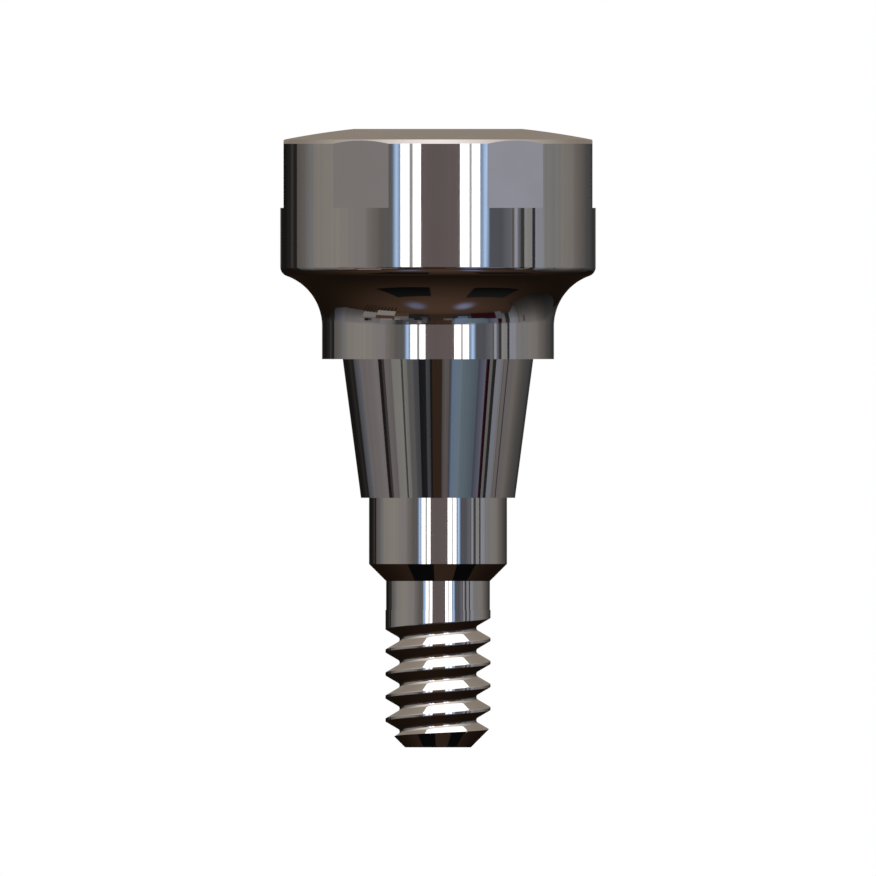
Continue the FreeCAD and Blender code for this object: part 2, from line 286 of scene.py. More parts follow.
# %% Rows that climb with the thread
ROOT_STEPS, CREST_STEPS = 16, 8
FLANK_SHARES = np.array([0.05, 0.5, 0.95])
root_angles = np.radians(np.linspace(0, 60, ROOT_STEPS // 2 + 1))
crest_angles = np.radians(np.linspace(60, 0, CREST_STEPS // 2 + 1))
root_rows = ROOT_ROUND * np.sin(root_angles)
crest_rows = THREAD_PITCH / 2 - np.append(CREST_FLAT + CREST_ROUND * np.sin(crest_angles), 0)
flank_rows = root_rows[-1] + (crest_rows[0] - root_rows[-1]) * FLANK_SHARES
half_pitch = np.concatenate([root_rows, flank_rows, crest_rows])
one_pitch = np.concatenate([half_pitch, THREAD_PITCH - half_pitch[-2:0:-1]])
pitches = math.ceil((THREAD_TOP - TIP) / THREAD_PITCH) + 2
offsets = (np.arange(-1, pitches)[:, None] * THREAD_PITCH + one_pitch).ravel()[::-1]
thread_heights = FIRST_ROOT + offsets[:, None] + THREAD_PITCH * azimuth / (2 * math.pi)
thread_heights = np.clip(thread_heights, TIP, THREAD_TOP)
thread_azimuth = np.broadcast_to(azimuth, thread_heights.shape)


def snap_to_chamfer(heights):
    """Moves the nearer row onto each place where the thread's surface meets the tip's chamfer.

    Between two rows the gap between blank and thread changes sign there, and the crossing is found
    in proportion to the two gaps.
    """
    gap = blank_radius(heights) - thread_radius(heights, thread_azimuth)
    crosses = (gap[:-1] * gap[1:]) < 0
    share = gap[:-1] / np.where(crosses, gap[:-1] - gap[1:], 1)
    crossing = heights[:-1] + share * (heights[1:] - heights[:-1])
    snapped = heights.copy()
    upper = crosses & (share < 0.5)
    lower = crosses & (share >= 0.5)
    snapped[:-1][upper] = crossing[upper]
    snapped[1:][lower] = crossing[lower]
    return snapped


thread_heights = snap_to_chamfer(thread_heights)
thread_radii = np.minimum(blank_radius(thread_heights), thread_radius(thread_heights, thread_azimuth))
print("thread rows:", len(thread_heights), "turns of groove:", round(GROOVE_TURNS, 2))

# %% [markdown]
# ## The turned body
# The rows are stacked in the order of a walk along the half section: from the middle of the pocket
# floor, up the pocket, over the rim, down the outside, along the thread, and back to the axis at
# the tip. Only the rows on the head's wall differ from column to column.

# %% Rows of the body, from the pocket floor to the tip
def ring(radius, height):
    """One row at the same radius and height all round."""
    return np.full((1, azimuth.size), float(radius)), np.full((1, azimuth.size), float(height))


def rings(points):
    """One row for each point of a half section."""
    return [ring(radius, height) for radius, height in points]


DOME_POINTS_ON_BODY, DOME_POINTS_ON_LID = 5, 9
dome_radii = np.linspace(RECESS_RADIUS, CROWN_EDGE_RADIUS, DOME_POINTS_ON_BODY)
dome_rows = np.stack([dome_radii, crown_height(dome_radii)], -1)
cone_foot_radius = CONE_RADIUS - CONE_LENGTH * math.tan(CONE_ANGLE)
body_rows = [
    *rings([(0, POCKET_FLOOR), (POCKET_RADIUS, POCKET_FLOOR), (POCKET_RADIUS, LID_SEAT)]),
    *rings([(RECESS_RADIUS, LID_SEAT), *dome_rows]),
    (wall_radius[None], wall_top[None]),
    (wall_radius[None], np.full((1, azimuth.size), LEDGE_HEIGHT)),
    *rings([(HEAD_RADIUS, LEDGE_HEIGHT), *lip_arc, *neck_arc[1:]]),
    *rings([(COLLAR_RADIUS, 0), (CONE_RADIUS, 0)]),
    *rings([(cone_foot_radius, -CONE_LENGTH), (GUIDE_RADIUS, -CONE_LENGTH)]),
    *rings([(GUIDE_RADIUS, GUIDE_BOTTOM), (SHANK_RADIUS, SHANK_TOP), (SHANK_RADIUS, THREAD_TOP)]),
    (thread_radii, thread_heights),
    *rings([(0, TIP)]),
]
body_radius = np.concatenate([radius for radius, _ in body_rows])
body_height = np.concatenate([height for _, height in body_rows])
body_azimuth = np.broadcast_to(azimuth, body_radius.shape)
turned_body = mesh_from_grid("turned_body", body_radius, body_azimuth, body_height)
close_skin(turned_body)
place(turned_body, "abutment_body")

# %% [markdown]
# ## The lid and the magnet
# The lid carries the dome on over the rim and ends in the flat that meets the denture's magnet.
# It sits on its ledge inside the recess. A laser weld closes the hairline round it and is polished
# over, so here the lid reaches almost to the recess's wall. The magnet is a plain ground disc with
# small chamfers. It is out of sight, but it is there in the real part.

# %% Lid and magnet as turned skins
def turned_piece(name, points):
    """A closed skin from the points of one half section, the same at every angle."""
    rows = rings(points)
    radius = np.concatenate([radius for radius, _ in rows])
    height = np.concatenate([height for _, height in rows])
    return mesh_from_grid(name, radius, np.broadcast_to(azimuth, radius.shape), height)


WELD_GAP = 0.001 * MM
weld_radius = RECESS_RADIUS - WELD_GAP
lid_radii = np.linspace(CROWN_FLAT_RADIUS, weld_radius, DOME_POINTS_ON_LID)
lid_dome = np.stack([lid_radii, crown_height(lid_radii)], -1)
lid_bottom = [(weld_radius, LID_SEAT), (0, LID_SEAT)]
domed_lid = turned_piece("domed_lid", [(0, TOP), *lid_dome, *lid_bottom])
print("the weld adds", round((weld_radius - LID_RADIUS) / MM, 4), "mm to the lid's radius")
close_skin(domed_lid)
place(domed_lid, "cover")

ground_radius = MAGNET_RADIUS - MAGNET_CHAMFER
disc_magnet = turned_piece("disc_magnet", [
    (0, MAGNET_TOP), (ground_radius, MAGNET_TOP), (MAGNET_RADIUS, MAGNET_TOP - MAGNET_CHAMFER),
    (MAGNET_RADIUS, POCKET_FLOOR + MAGNET_CHAMFER), (ground_radius, POCKET_FLOOR), (0, POCKET_FLOOR),
])
close_skin(disc_magnet)
place(disc_magnet, "magnet")

# %% [markdown]
# ## Node helpers
# Materials are graphs of nodes. Two small helpers keep them readable: one adds a node with its
# values, the other joins sockets.

# %% Two helpers for node graphs
def add_node(tree, kind, settings=None, values=None):
    """A node of this kind, its properties from settings and its unlinked inputs from values."""
    node = tree.nodes.new(kind)
    for name, value in (settings or {}).items():
        setattr(node, name, value)
    for name, value in (values or {}).items():
        node.inputs[name].default_value = value
    return node


def join(tree, *pairs):
    """Links each pair of (output socket, input socket)."""
    for output, entry in pairs:
        tree.links.new(output, entry)


# %% [markdown]
# ## Marks of the lathe
# A turned and polished part keeps very fine lines that run round the axis. They follow height on a
# wall and distance from the axis on a flat end, so the sum of the two serves both. A slow noise
# stands for uneven polish. Both finishes use these marks, so they are a shader node group with
# its own inputs: how many lines to a metre, and how large a patch of polish is.

# %% A shader node group for lathe marks
def lathe_marks():
    """Group: height of the fine lines, and a mask from 0 to 1 for uneven polish."""
    tree = bpy.data.node_groups.new("lathe_marks", "ShaderNodeTree")
    face = tree.interface
    face.new_socket("Lines per metre", in_out="INPUT", socket_type="NodeSocketFloat")
    face.new_socket("Patches per metre", in_out="INPUT", socket_type="NodeSocketFloat")
    face.new_socket("Lines", in_out="OUTPUT", socket_type="NodeSocketFloat")
    face.new_socket("Polish", in_out="OUTPUT", socket_type="NodeSocketFloat")
    given = tree.nodes.new("NodeGroupInput")
    result = tree.nodes.new("NodeGroupOutput")

    place_on_piece = add_node(tree, "ShaderNodeTexCoord")
    parts = add_node(tree, "ShaderNodeSeparateXYZ")
    flat = add_node(tree, "ShaderNodeCombineXYZ")
    from_axis = add_node(tree, "ShaderNodeVectorMath", {"operation": "LENGTH"})
    along = add_node(tree, "ShaderNodeMath", {"operation": "ADD"})
    lines = add_node(tree, "ShaderNodeTexNoise", {"noise_dimensions": "1D"}, {"Detail": 3.0})
    patches = add_node(tree, "ShaderNodeTexNoise", {}, {"Detail": 4.0, "Roughness": 0.6})
    join(
        tree,
        (place_on_piece.outputs["Object"], parts.inputs["Vector"]),
        (parts.outputs["X"], flat.inputs["X"]),
        (parts.outputs["Y"], flat.inputs["Y"]),
        (flat.outputs["Vector"], from_axis.inputs[0]),
        (from_axis.outputs["Value"], along.inputs[0]),
        (parts.outputs["Z"], along.inputs[1]),
        (along.outputs["Value"], lines.inputs["W"]),
        (given.outputs["Lines per metre"], lines.inputs["Scale"]),
        (place_on_piece.outputs["Object"], patches.inputs["Vector"]),
        (given.outputs["Patches per metre"], patches.inputs["Scale"]),
        (lines.outputs["Fac"], result.inputs["Lines"]),
        (patches.outputs["Fac"], result.inputs["Polish"]),
    )
    return tree


marks = lathe_marks()
print("group", marks.name, "with outputs", [item.name for item in marks.interface.items_tree])

# %% [markdown]
# ## The finishes
# Titanium polished to a mirror is grey and slightly warm. Its look comes from what it reflects, so
# its own colour changes only a little with the polish. The magnet is sintered and ground, so it is
# darker and much rougher. Bump is given a real depth in metres: the lathe's lines are far less
# than a micron deep.

# %% Materials for titanium and for the magnet
TITANIUM = (0.449, 0.438, 0.434, 1.0)
TITANIUM_DULL = (0.412, 0.397, 0.387, 1.0)
SAMARIUM_COBALT = (0.36, 0.35, 0.34, 1.0)
SAMARIUM_COBALT_DULL = (0.27, 0.26, 0.25, 1.0)
BEST_POLISH, WORST_POLISH = 0.3, 0.7


def metal(name, colours, roughness, lines_per_metre, line_depth, patches_per_metre):
    """A metal whose colour and roughness follow the polish and whose normal follows the lines.

    colours and roughness are pairs: where the polish is best, and where it is worst. Roughness goes
    evenly from one to the other while the noise of the polish goes from 0.3 to 0.7.
    """
    material = bpy.data.materials.new(name)
    material.use_nodes = True
    tree = material.node_tree
    shader = tree.nodes["Principled BSDF"]
    shader.inputs["Metallic"].default_value = 1.0
    group = add_node(tree, "ShaderNodeGroup", {"node_tree": marks})
    group.inputs["Lines per metre"].default_value = lines_per_metre
    group.inputs["Patches per metre"].default_value = patches_per_metre
    colour = add_node(tree, "ShaderNodeMix", {"data_type": "RGBA"})
    colour.inputs["A"].default_value, colour.inputs["B"].default_value = colours
    from_polish = {"From Min": BEST_POLISH, "From Max": WORST_POLISH}
    shine = add_node(tree, "ShaderNodeMapRange", {}, from_polish)
    shine.inputs["To Min"].default_value, shine.inputs["To Max"].default_value = roughness
    bump = add_node(tree, "ShaderNodeBump", {}, {"Strength": 1.0, "Distance": line_depth})
    join(
        tree,
        (group.outputs["Polish"], colour.inputs["Factor"]),
        (colour.outputs["Result"], shader.inputs["Base Color"]),
        (group.outputs["Polish"], shine.inputs["Value"]),
        (shine.outputs["Result"], shader.inputs["Roughness"]),
        (group.outputs["Lines"], bump.inputs["Height"]),
        (bump.outputs["Normal"], shader.inputs["Normal"]),
    )
    return material


polished_titanium = metal(
    "polished_titanium",
    colours=(TITANIUM, TITANIUM_DULL),
    roughness=(0.03, 0.06),
    lines_per_metre=30000.0,
    line_depth=2.5e-8,
    patches_per_metre=900.0,
)
ground_magnet = metal(
    "ground_magnet",
    colours=(SAMARIUM_COBALT, SAMARIUM_COBALT_DULL),
    roughness=(0.32, 0.5),
    lines_per_metre=18000.0,
    line_depth=6e-7,
    patches_per_metre=4000.0,
)
for piece, finish in (
    (turned_body, polished_titanium), (domed_lid, polished_titanium), (disc_magnet, ground_magnet),
):
    piece.data.materials.append(finish)
print("finishes:", polished_titanium.name, ground_magnet.name)

# %% [markdown]
# ## What the mirror finish sees
# A mirror shows its surroundings, so they are made like a small studio: a ring of grey cards with
# two tall soft boxes in front, darker cards below, a dark floor card and a warm ceiling. The cards
# are seen only in reflections. They hold back no light and throw none, so the floor and its shadow
# stay plain. A card's light is a plain number times one of a few tints, and one function sets the
# level of the whole studio.

# %% Tints and level of the studio
NEUTRAL = (1.0, 1.0, 1.0)
WARM = (1.07, 0.99, 0.92)
COOL = (0.94, 0.98, 1.14)
MAUVE = (1.14, 0.95, 0.95)
ROSE = (1.05, 0.98, 0.975)
OLIVE = (1.03, 1.02, 0.96)
STEEL = (0.75, 1.0, 1.22)
BLUE = (0.72, 1.0, 1.47)
LILAC = (0.93, 1.0, 1.38)
VIOLET = (0.82, 0.86, 1.36)
BROWN = (1.5, 0.87, 0.57)
BEIGE = (1.15, 0.97, 0.80)
RED = (1.9, 0.45, 0.65)
DARK_METAL = 0.27
TITANIUM_METAL = 0.425


def studio_level(points):
    """Level of the studio in a direction: 0.64 in front, rising to 1 straight behind.

    The cards' numbers suit a metal that mirrors 0.27 of the light. Titanium mirrors 0.425, and both
    mirror all of it at a glancing angle, by the fifth power of 1 less the cosine of the angle. The
    level is the one metal's share over the other's, for the light that reaches the camera.
    """
    cosine = np.sqrt((1 - points[..., 1] / np.linalg.norm(points, axis=-1)) / 2)
    glance = (1 - cosine) ** 5
    return (DARK_METAL + (1 - DARK_METAL) * glance) / (TITANIUM_METAL + (1 - TITANIUM_METAL) * glance)


print("level in front and behind:", studio_level(np.array([(0, -1, 0), (0, 1, 0)])).round(3))

# %% Cards on a large sphere round the part
CARD_DISTANCE = 0.8
LAYER_STEP = 0.01
STEP_ROUND = 0.5
STEP_UP = 4.0
MIDDLE = (TOP + TIP) / 2
card_points, card_faces, card_lights = [], [], []


def add_card(points, lights):
    """Adds one card: a grid of points round the part's middle, and the colour of light at each."""
    index = sum(map(len, card_points)) + np.arange(points[..., 0].size).reshape(points.shape[:2])
    corners = [index[:-1, :-1], index[:-1, 1:], index[1:, 1:], index[1:, :-1]]
    card_points.append((points + (0, 0, MIDDLE)).reshape(-1, 3))
    card_faces.append(np.stack(corners, -1).reshape(-1, 4))
    card_lights.append((studio_level(points)[..., None] * lights).reshape(-1, 3))


def grid(start, end, bottom, top):
    """Azimuths and elevations of a curved card's points, in degrees, from corner to corner."""
    across = math.ceil((end - start) / STEP_ROUND) + 1
    up = math.ceil((top - bottom) / STEP_UP) + 1
    return np.meshgrid(np.linspace(start, end, across), np.linspace(bottom, top, up))


def on_sphere(turn, rise, layer):
    """Points at azimuth a and elevation e: the distance times (cos e sin a, -cos e cos a, sin e).

    Azimuth 0 is towards the camera and grows to the right. A higher layer lies a little nearer.
    """
    a, e = np.radians(turn), np.radians(rise)
    way = np.stack([np.cos(e) * np.sin(a), -np.cos(e) * np.cos(a), np.sin(e)], -1)
    return way * CARD_DISTANCE * (1 - layer * LAYER_STEP)


print("cards stand", CARD_DISTANCE, "m from the part's middle")

# %% Hanging cloth
draws = np.random.default_rng(4)
FOLD_TURNS = np.arange(-180, 181, 2)
FOLD_DEPTH = 0.03
FOLD_SHARES = 1 + FOLD_DEPTH * draws.standard_normal(FOLD_TURNS.size)
FADE_OVER = 14.0


def cloth_card(start, end, elevations, light, light_at_end, tint, layer=1):
    """A hanging card whose light changes evenly from its start to its end azimuth.

    It is cloth, so soft upright folds make it a little lighter or darker from place to place. Below
    what the cone shows, at -15 cos(a / 2) degrees, it fades by a factor e for every 14 degrees.
    """
    turn, rise = grid(start, end, *elevations)
    share = (turn - start) / (end - start)
    folds = np.interp(turn, FOLD_TURNS, FOLD_SHARES)
    cone_line = -2 * math.degrees(CONE_ANGLE) * np.cos(np.radians(turn) / 2)
    fall = np.exp(np.minimum(rise - cone_line, 0) / FADE_OVER)
    lights = (fall * folds * (light + (light_at_end - light) * share))[..., None] * np.array(tint)
    add_card(on_sphere(turn, rise, layer), lights)


print("the folds' light goes from", FOLD_SHARES.min().round(3), "to", FOLD_SHARES.max().round(3))

# %% [markdown]
# ## The ring of cards
# Everything that an upright wall of the part shows comes from this ring. From the left: a nearly
# black card, a long grey one, the first soft box with its cool edge, a dark gap round the camera,
# the second soft box, then greys with thin dark posts between them.

# %% Upright cards and soft boxes
RING = (-3.2, 12.0)
TALL_RING = (-3.2, 34.0)
BOX_LIGHT = 5.0
upright_cards = [
    (-180, -148, 0.013, 0.018, WARM),
    (-148, -137, 0.022, 0.05, WARM),
    (-137, -132.5, 0.10, 0.09, WARM),
    (-132.5, -126.5, 0.045, 0.045, WARM),
    (-126.5, -114, 0.27, 0.39, WARM),
    (-114, -104, 0.41, 0.60, NEUTRAL),
    (-104, -93, 0.63, 0.69, WARM),
    (-93, -81, 0.72, 0.70, WARM),
    (-81, -68, 0.75, 0.68, WARM),
    (-68, -54, 0.665, 0.61, ROSE),
    (-54, -40, 0.55, 0.31, WARM),
    (-40, -33.6, 0.335, 0.35, NEUTRAL),
    (-33.6, -30.6, 0.40, 1.95, BLUE),
    (-30.6, -27.5, 1.95, 0.80, BLUE),
    (-27.5, -20.8, BOX_LIGHT, BOX_LIGHT, NEUTRAL),
    (-20.8, -18.4, 1.0, 1.0, NEUTRAL),
    (-18.4, -12.5, BOX_LIGHT, BOX_LIGHT, NEUTRAL),
    (-12.5, 16.1, 0.345, 0.345, MAUVE),
    (16.1, 22.9, BOX_LIGHT, BOX_LIGHT, NEUTRAL),
    (22.9, 24.7, 1.15, 1.15, NEUTRAL),
    (24.7, 30.9, BOX_LIGHT, BOX_LIGHT, NEUTRAL),
    (30.9, 32.7, 1.05, 0.95, BLUE),
    (32.7, 34.9, 1.05, 2.15, BLUE),
    (34.9, 38.1, 2.15, 0.35, BLUE),
    (38.1, 47.5, 0.295, 0.28, COOL),
    (47.5, 55.9, 0.28, 0.48, COOL),
    (55.9, 57.8, 0.31, 0.30, WARM),
    (57.8, 60.4, 0.98, 0.98, COOL),
    (60.4, 63.3, 0.60, 0.28, COOL),
    (63.3, 66.3, 0.14, 0.10, NEUTRAL),
    (66.3, 73.3, 0.76, 0.71, NEUTRAL),
    (73.3, 76.0, 0.08, 0.08, COOL),
    (76.0, 84.3, 0.85, 0.80, COOL),
    (84.3, 87.5, 0.70, 0.57, NEUTRAL),
    (87.5, 103, 0.66, 0.60, NEUTRAL),
    (103, 116, 0.62, 0.56, WARM),
    (116, 121, 0.54, 0.42, WARM),
    (121, 140, 0.42, 0.18, WARM),
    (140, 158, 0.18, 0.06, NEUTRAL),
    (158, 180, 0.06, 0.02, NEUTRAL),
]
for start, end, light, light_at_end, tint in upright_cards:
    elevations = TALL_RING if light == BOX_LIGHT else RING
    cloth_card(start, end, elevations, light, light_at_end, tint)
print("upright cards:", len(upright_cards))

# %% [markdown]
# ## Cards below the ring
# The cone leans under by 7.5 degrees, so it shows what is up to 15 degrees below the horizon. The
# cards there are broken up by thin dark posts, which turn into the long stripes on the cone. Only
# the neck shows the strip between the ring and those cards. There the two rows blend into each
# other, and in front a third row hides the lower ends of the soft boxes.

# %% Low cards
LOW_BAND = (-42.0, -3.2)
low_cards = [
    (-180, -144, 0.010, 0.010, NEUTRAL),
    (-144, -125.5, 0.022, 0.05, WARM),
    (-125.5, -112, 0.20, 0.40, COOL),
    (-112, -79.2, 0.45, 0.55, ROSE),
    (-79.2, -70.2, 0.51, 0.46, NEUTRAL),
    (-70.2, -59.8, 0.48, 0.415, ROSE),
    (-59.8, -47.1, 0.63, 0.72, OLIVE),
    (-47.1, -44.4, 0.17, 0.17, NEUTRAL),
    (-44.4, -38.8, 0.70, 0.46, OLIVE),
    (-38.8, -31, 0.35, 0.32, NEUTRAL),
    (-31, -24.1, 0.24, 0.20, COOL),
    (-24.1, -15.2, 0.035, 0.045, COOL),
    (-15.2, -10.1, 0.20, 0.17, COOL),
    (-10.1, -7.2, 0.035, 0.03, NEUTRAL),
    (-7.2, 5.2, 0.075, 0.072, BROWN),
    (5.2, 9, 0.22, 0.29, NEUTRAL),
    (9, 14.3, 0.33, 0.28, MAUVE),
    (14.3, 16.7, 0.20, 0.22, COOL),
    (16.7, 18, 0.38, 0.44, BLUE),
    (18, 24.5, 0.57, 0.58, BLUE),
    (24.5, 30, 0.58, 0.60, STEEL),
    (30, 51.2, 0.53, 0.35, STEEL),
    (51.2, 54.2, 0.24, 0.24, LILAC),
    (54.2, 62.4, 0.29, 0.41, LILAC),
    (62.4, 64, 0.09, 0.05, RED),
    (64, 67.3, 0.018, 0.018, RED),
    (67.3, 71.7, 0.42, 0.41, NEUTRAL),
    (71.7, 76.8, 0.06, 0.06, NEUTRAL),
    (76.8, 84.6, 0.66, 0.61, COOL),
    (84.6, 88.2, 0.53, 0.53, NEUTRAL),
    (88.2, 89.6, 0.29, 0.29, NEUTRAL),
    (89.6, 97.4, 0.45, 0.44, ROSE),
    (97.4, 107, 0.45, 0.435, ROSE),
    (107, 116, 0.47, 0.42, WARM),
    (116, 134, 0.365, 0.145, WARM),
    (134, 160, 0.155, 0.05, NEUTRAL),
    (160, 180, 0.03, 0.01, NEUTRAL),
]
for start, end, light, light_at_end, tint in low_cards:
    cloth_card(start, end, LOW_BAND, light, light_at_end, tint)
print("low cards:", len(low_cards))

# %% The blended strip, and the third row in front
BLEND_BAND = (-7.0, RING[0])
BLEND_LIMIT = 1.0
MIDDLE_BAND = (-12.4, RING[0])
middle_cards = [
    (-60, -46.5, 0.56, 0.43, NEUTRAL),
    (-46.5, -42.5, 0.36, 0.20, NEUTRAL),
    (-42.5, -35, 0.12, 0.13, NEUTRAL),
    (-35, -28, 0.21, 0.19, STEEL),
    (-28, -20.5, 0.22, 0.24, COOL),
    (-20.5, -13.5, 0.32, 0.15, NEUTRAL),
    (-13.5, -8.5, 0.10, 0.08, NEUTRAL),
    (-8.5, 13.7, 0.08, 0.09, BROWN),
    (13.7, 17, 0.25, 0.42, STEEL),
    (17, 30, 0.62, 0.50, BLUE),
]


def light_round(cards, turn):
    """The light of a row of cards at each azimuth, changing evenly along each card."""
    lights = np.zeros((*turn.shape, 3))
    for start, end, light, light_at_end, tint in cards:
        inside = (turn >= start) & (turn <= end)
        share = (turn[inside] - start) / (end - start)
        lights[inside] = (light + (light_at_end - light) * share)[:, None] * np.array(tint)
    return lights


turn, rise = grid(-180, 180, *BLEND_BAND)
share = ((rise - BLEND_BAND[0]) / (BLEND_BAND[1] - BLEND_BAND[0]))[..., None]
ring_light = np.minimum(light_round(upright_cards, turn), BLEND_LIMIT)
add_card(on_sphere(turn, rise, 2), ring_light * share + light_round(low_cards, turn) * (1 - share))
for start, end, light, light_at_end, tint in middle_cards:
    cloth_card(start, end, MIDDLE_BAND, light, light_at_end, tint, layer=3)
print("cards in the third row:", len(middle_cards))

# %% [markdown]
# ## Floor card and ceiling
# Surfaces that face down, such as the neck and the step under the cone, show a dark brown floor
# card with two black patches and two faint cool glows. Small things and a thin fringe stand on the
# card's edge. Surfaces that face up, such as the dome and the upper side of each thread, show a
# warm ceiling that grows brighter overhead and high at both sides, with one bright lamp panel.
# Straight behind, a narrow strip of its light reaches down to the horizon.

# %% Floor card
FLOOR_EDGE = np.array([
    (-180, -4), (-140, -6), (-122, -20), (-108, -25), (-88, -26), (-50, -26), (0, -24.5),
    (60, -25.5), (77, -22), (90, -39), (110, -41), (125, -42), (137, -34), (146, -22), (153, -10),
    (180, -3),
])
FLOOR_BASE = 0.01
FLOOR_FRONT = 0.165
FRONT_POWER = 1.6
EDGE_SHADOW = 0.5
SHADOW_OVER = 6.0


def floor_edge(turn):
    """Elevation of the floor card's edge at each azimuth: straight stretches between its corners."""
    return np.interp(turn, *FLOOR_EDGE.T)


def floor_light(turn, rise):
    """Brown light: a base plus a power of the share by which a point lies in front.

    In front, a soft shadow runs along the edge. It fades by a factor e in 6 degrees.
    """
    front = (1 + np.cos(np.radians(turn)) * np.cos(np.radians(rise))) / 2
    inside = np.maximum(floor_edge(turn) - rise, 0)
    shadow = 1 - EDGE_SHADOW * front * np.exp(-inside / SHADOW_OVER)
    lights = (FLOOR_BASE + FLOOR_FRONT * front**FRONT_POWER) * shadow
    return lights[..., None] * np.array(BROWN)


def floor_card():
    """A brown card from straight down to its edge."""
    turn, climb = grid(-180, 180, 0, 90)
    rise = -90 + climb / 90 * (90 + floor_edge(turn))
    add_card(on_sphere(turn, rise, 3), floor_light(turn, rise))


floor_card()
print("corners on the floor card's edge:", len(FLOOR_EDGE))

# %% Warm ceiling
CEILING_LOW = 0.20
CEILING_RISE = 0.56
OVERHEAD_WHITE = 2.2
SIDE_GLOW = 7.0
FRONT_CREAM = 2.5
STRIP_BEHIND = (168, 192, -1, RING[1])


def warm_light(turn, rise):
    """Beige light that grows with the sine of the elevation, white from overhead, cream in front.

    The white part goes with the eleventh power of that sine. The cream part goes with the share of
    the direction that points at the camera. The glow high at both sides goes with the cube of the
    product of that sine and the share of the direction that points sideways.
    """
    height = np.sin(np.radians(rise))[..., None]
    front = np.maximum(np.cos(np.radians(turn)) * np.cos(np.radians(rise)), 0)[..., None]
    side = np.abs(np.sin(np.radians(turn)) * np.cos(np.radians(rise)))[..., None]
    beige = (CEILING_LOW + CEILING_RISE * height) * np.array(BEIGE)
    white = OVERHEAD_WHITE * height**11 + SIDE_GLOW * (side * height) ** 3
    return beige + white + FRONT_CREAM * front * np.array(WARM)


turn, rise = grid(-180, 180, RING[1], 90)
add_card(on_sphere(turn, rise, 0), warm_light(turn, rise))
turn, rise = grid(*STRIP_BEHIND)
add_card(on_sphere(turn, rise, 2), warm_light(turn, rise))
print("light straight overhead:", warm_light(np.array([0.0]), np.array([90.0]))[0].round(2))

# %% Level panels on the floor and under the ceiling
PANEL_HEIGHT = 0.3
GLOW_REACH = (0.28, 0.46)
GLOW_POINTS = (13, 21)


def level_panel(corners, height, light, light_behind):
    """A level panel: four corners as shares of its height above or below the part's middle.

    Its light changes evenly from its edge towards the camera to the edge behind.
    """
    flat = np.array(corners, float).reshape(2, 2, 2) * abs(height)
    points = np.concatenate([flat, np.full((2, 2, 1), height)], -1)
    add_card(points, np.repeat([[light], [light_behind]], 2, axis=1)[..., None] * np.ones(3))


def soft_glow(x, y, light):
    """A cool glow on the floor, long towards the camera, over the floor's own light.

    It falls with exp(-4 s^3), where s is the distance from its middle as a share of its reach.
    """
    across, deep = np.meshgrid(*(np.linspace(-1, 1, count) for count in GLOW_POINTS))
    east, south = x + across * GLOW_REACH[0], y + deep * GLOW_REACH[1]
    turn = np.degrees(np.arctan2(east, -south))
    rise = -np.degrees(np.arctan2(1, np.hypot(east, south)))
    glow = np.exp(-4 * np.hypot(across, deep) ** 3)[..., None]
    points = np.stack([east, south, -np.ones_like(east)], -1) * PANEL_HEIGHT
    add_card(points, floor_light(turn, rise) * (1 - glow) + light * glow * np.array(VIOLET))


LEFT_PATCH = ((-0.51, -0.33), (-0.08, -0.40), (-0.49, 0.235), (-0.06, 0.06))
RIGHT_PATCH = ((0.36, -0.43), (0.85, -0.06), (0.27, 0.11), (0.66, 0.46))
LAMP_PANEL = ((-0.245, 0.12), (0.295, 0.12), (-0.245, 1.02), (0.295, 1.02))
soft_glow(-0.45, -0.99, 0.44)
soft_glow(0.55, -0.99, 0.62)
level_panel(LEFT_PATCH, -PANEL_HEIGHT, 0.022, 0.007)
level_panel(RIGHT_PATCH, -PANEL_HEIGHT, 0.034, 0.006)
level_panel(LAMP_PANEL, PANEL_HEIGHT, 4.5, 4.5)
print("cards with the panels:", len(card_points))

# %% Small things along the floor's edge
edge_things = [
    ((-82, -66), (-24.5, -15.8), 0.56, WARM),
    ((-65.5, -45), (-29.5, -20.5), 0.66, WARM),
    ((-66, -45), (-20.5, -14.3), 0.14, BROWN),
    ((-79.2, -74), (-13.8, -9.2), 0.035, WARM),
    ((-74, -70.2), (-13.8, -9.5), 0.13, WARM),
    ((-45, -30), (-19.8, -15.6), 0.34, WARM),
    ((-45, -30), (-27, -19.8), 0.13, BROWN),
    ((-32, -29), (-8.5, -4.5), 0.48, NEUTRAL),
    ((-20, -16.5), (-9.5, -5), 0.55, MAUVE),
    ((-14.5, -11), (-12, -7), 0.26, COOL),
    ((-30, -9), (-24.6, -16.2), 0.045, NEUTRAL),
    ((-17.5, -10), (-20, -16.2), 0.11, COOL),
    ((-9, 14), (-24.8, -16.2), 0.07, BROWN),
    ((14, 20), (-24.8, -16.2), 0.06, COOL),
    ((20, 30), (-20.3, -16.2), 0.38, BLUE),
    ((30, 35), (-20.3, -16.0), 0.14, STEEL),
    ((20, 35), (-25.2, -20.3), 0.07, STEEL),
    ((34, 48), (-26, -15.6), 0.028, RED),
    ((48, 61), (-26, -14.6), 0.028, RED),
    ((61, 68), (-27, -13.8), 0.28, COOL),
    ((84.5, 88.5), (-40, -34), 0.05, WARM),
    ((95.2, 97.4), (-16, -7.5), 0.14, WARM),
]
fringe = [((turn, turn + 1.5), (-37, -24.5), 0.03, BROWN) for turn in range(-83, -46, 4)]


def plain_card(azimuths, elevations, light, tint, layer):
    """A card of one even light between two azimuths and two elevations."""
    turn, rise = grid(*azimuths, *elevations)
    add_card(on_sphere(turn, rise, layer), np.broadcast_to(light * np.array(tint), (*turn.shape, 3)))


for strip in fringe:
    plain_card(*strip, layer=4)
for thing in edge_things:
    plain_card(*thing, layer=5)
print("things on the edge:", len(edge_things), "and a fringe of", len(fringe))


